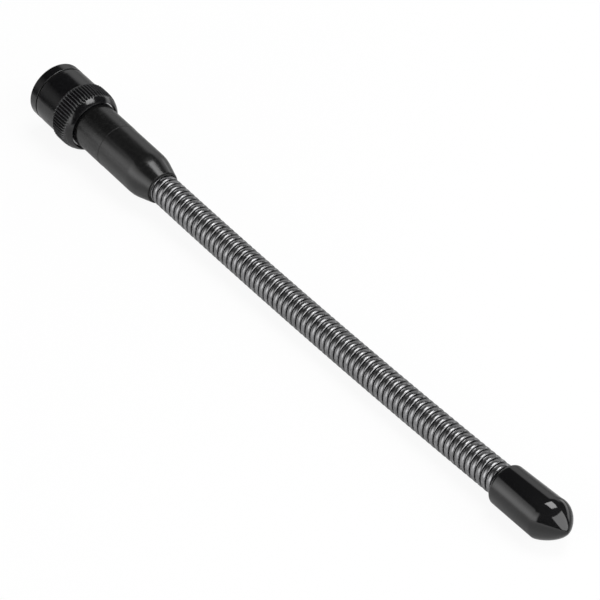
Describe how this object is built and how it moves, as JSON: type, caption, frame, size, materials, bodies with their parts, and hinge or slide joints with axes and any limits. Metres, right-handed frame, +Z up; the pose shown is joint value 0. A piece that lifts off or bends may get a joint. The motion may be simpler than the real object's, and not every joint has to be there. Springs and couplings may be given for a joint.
{
  "type": "magnetic pickup tool",
  "caption": "Flexible magnetic pickup tool: black magnet head with a knurled turning collar, tapered boot, steel gooseneck of wound wire and a domed black tip cap.",
  "frame": {"origin": "on the surface that the tool lies on, under the middle of its bounding box", "axes": "+X from the magnet head to the tip cap, +Z up"},
  "size_m": [0.2058, 0.0172, 0.0174],
  "materials": {
    "black_metal": "gloss black plating",
    "satin_black": "satin black",
    "nickel": "bright nickel plating",
    "zinc": "turned, zinc plated",
    "brass": "turned",
    "plain_steel": "turned",
    "white_plastic": "natural",
    "seal_rubber": "smooth",
    "ring_steel": "polished",
    "wire_steel": "drawn and polished, dark",
    "core_steel": "drawn, bright",
    "black_vinyl": "gloss, dipped"
  },
  "bodies": {
    "head": {"head_body": "black_metal", "magnet_disc": "nickel", "magnet_pot": "zinc", "magnet_spacer": "brass", "pot_stud": "plain_steel", "thrust_washer": "white_plastic", "seal_ring": "seal_rubber", "retaining_ring": "ring_steel", "socket_sleeve": "satin_black", "neck_anchor": "plain_steel", "boot": "satin_black", "outer_wire_01": "wire_steel", "inner_wire_01": "core_steel"},
    "collar": {"collar": "black_metal"},
    "neck_link_02": {"outer_wire_02": "wire_steel", "inner_wire_02": "core_steel"},
    "neck_link_03": {"outer_wire_03": "wire_steel", "inner_wire_03": "core_steel"},
    "neck_link_04": {"outer_wire_04": "wire_steel", "inner_wire_04": "core_steel"},
    "neck_link_05": {"outer_wire_05": "wire_steel", "inner_wire_05": "core_steel"},
    "neck_link_06": {"outer_wire_06": "wire_steel", "inner_wire_06": "core_steel"},
    "neck_link_07": {"outer_wire_07": "wire_steel", "inner_wire_07": "core_steel"},
    "neck_link_08": {"outer_wire_08": "wire_steel", "inner_wire_08": "core_steel"},
    "neck_link_09": {"outer_wire_09": "wire_steel", "inner_wire_09": "core_steel"},
    "neck_link_10": {"outer_wire_10": "wire_steel", "inner_wire_10": "core_steel"},
    "neck_link_11": {"outer_wire_11": "wire_steel", "inner_wire_11": "core_steel"},
    "neck_link_12": {"outer_wire_12": "wire_steel", "inner_wire_12": "core_steel"},
    "tip": {"outer_wire_13": "wire_steel", "inner_wire_13": "core_steel", "tip_plug": "plain_steel", "tip_cap": "black_vinyl"}
  },
  "joints": [
    {"name": "collar_turn", "type": "hinge", "parent": "head", "child": "collar", "pos_m": [-0.09351, 0, 0.00893], "axis": [0.9987, 0, -0.0507], "continuous": true},
    {"name": "neck_lift_01", "type": "hinge", "parent": "head", "child": "neck_link_02", "pos_m": [-0.04742, 0, 0.0066], "axis": [0, -1, 0], "range_deg": [-26, 26], "deforming": ["outer_wire_01", "outer_wire_02"]},
    {"name": "neck_swing_02", "type": "hinge", "parent": "neck_link_02", "child": "neck_link_03", "pos_m": [-0.03613, 0, 0.00611], "axis": [0.0406, 0, 0.9992], "range_deg": [-26, 26], "deforming": ["outer_wire_03"]},
    {"name": "neck_lift_03", "type": "hinge", "parent": "neck_link_03", "child": "neck_link_04", "pos_m": [-0.02484, 0, 0.00569], "axis": [0, -1, 0], "range_deg": [-26, 26], "deforming": ["outer_wire_04"]},
    {"name": "neck_swing_04", "type": "hinge", "parent": "neck_link_04", "child": "neck_link_05", "pos_m": [-0.01354, 0, 0.00534], "axis": [0.0273, 0, 0.9996], "range_deg": [-26, 26], "deforming": ["outer_wire_05"]},
    {"name": "neck_lift_05", "type": "hinge", "parent": "neck_link_05", "child": "neck_link_06", "pos_m": [-0.00224, 0, 0.00507], "axis": [0, -1, 0], "range_deg": [-26, 26], "deforming": ["outer_wire_06"]},
    {"name": "neck_swing_06", "type": "hinge", "parent": "neck_link_06", "child": "neck_link_07", "pos_m": [0.00905, 0, 0.00487], "axis": [0.0139, 0, 0.9999], "range_deg": [-26, 26], "deforming": ["outer_wire_07"]},
    {"name": "neck_lift_07", "type": "hinge", "parent": "neck_link_07", "child": "neck_link_08", "pos_m": [0.02035, 0, 0.00476], "axis": [0, -1, 0], "range_deg": [-26, 26], "deforming": ["outer_wire_08"]},
    {"name": "neck_swing_08", "type": "hinge", "parent": "neck_link_08", "child": "neck_link_09", "pos_m": [0.03165, 0, 0.00471], "axis": [0.0005, 0, 1], "range_deg": [-26, 26], "deforming": ["outer_wire_09"]},
    {"name": "neck_lift_09", "type": "hinge", "parent": "neck_link_09", "child": "neck_link_10", "pos_m": [0.04295, 0, 0.00474], "axis": [0, -1, 0], "range_deg": [-26, 26], "deforming": ["outer_wire_10"]},
    {"name": "neck_swing_10", "type": "hinge", "parent": "neck_link_10", "child": "neck_link_11", "pos_m": [0.05425, 0, 0.00485], "axis": [-0.0129, 0, 0.9999], "range_deg": [-26, 26], "deforming": ["outer_wire_11"]},
    {"name": "neck_lift_11", "type": "hinge", "parent": "neck_link_11", "child": "neck_link_12", "pos_m": [0.06555, 0, 0.00503], "axis": [0, -1, 0], "range_deg": [-26, 26], "deforming": ["outer_wire_12"]},
    {"name": "neck_swing_12", "type": "hinge", "parent": "neck_link_12", "child": "tip", "pos_m": [0.07685, 0, 0.00529], "axis": [-0.0262, 0, 0.9997], "range_deg": [-26, 26], "deforming": ["outer_wire_13"]}
  ]
}
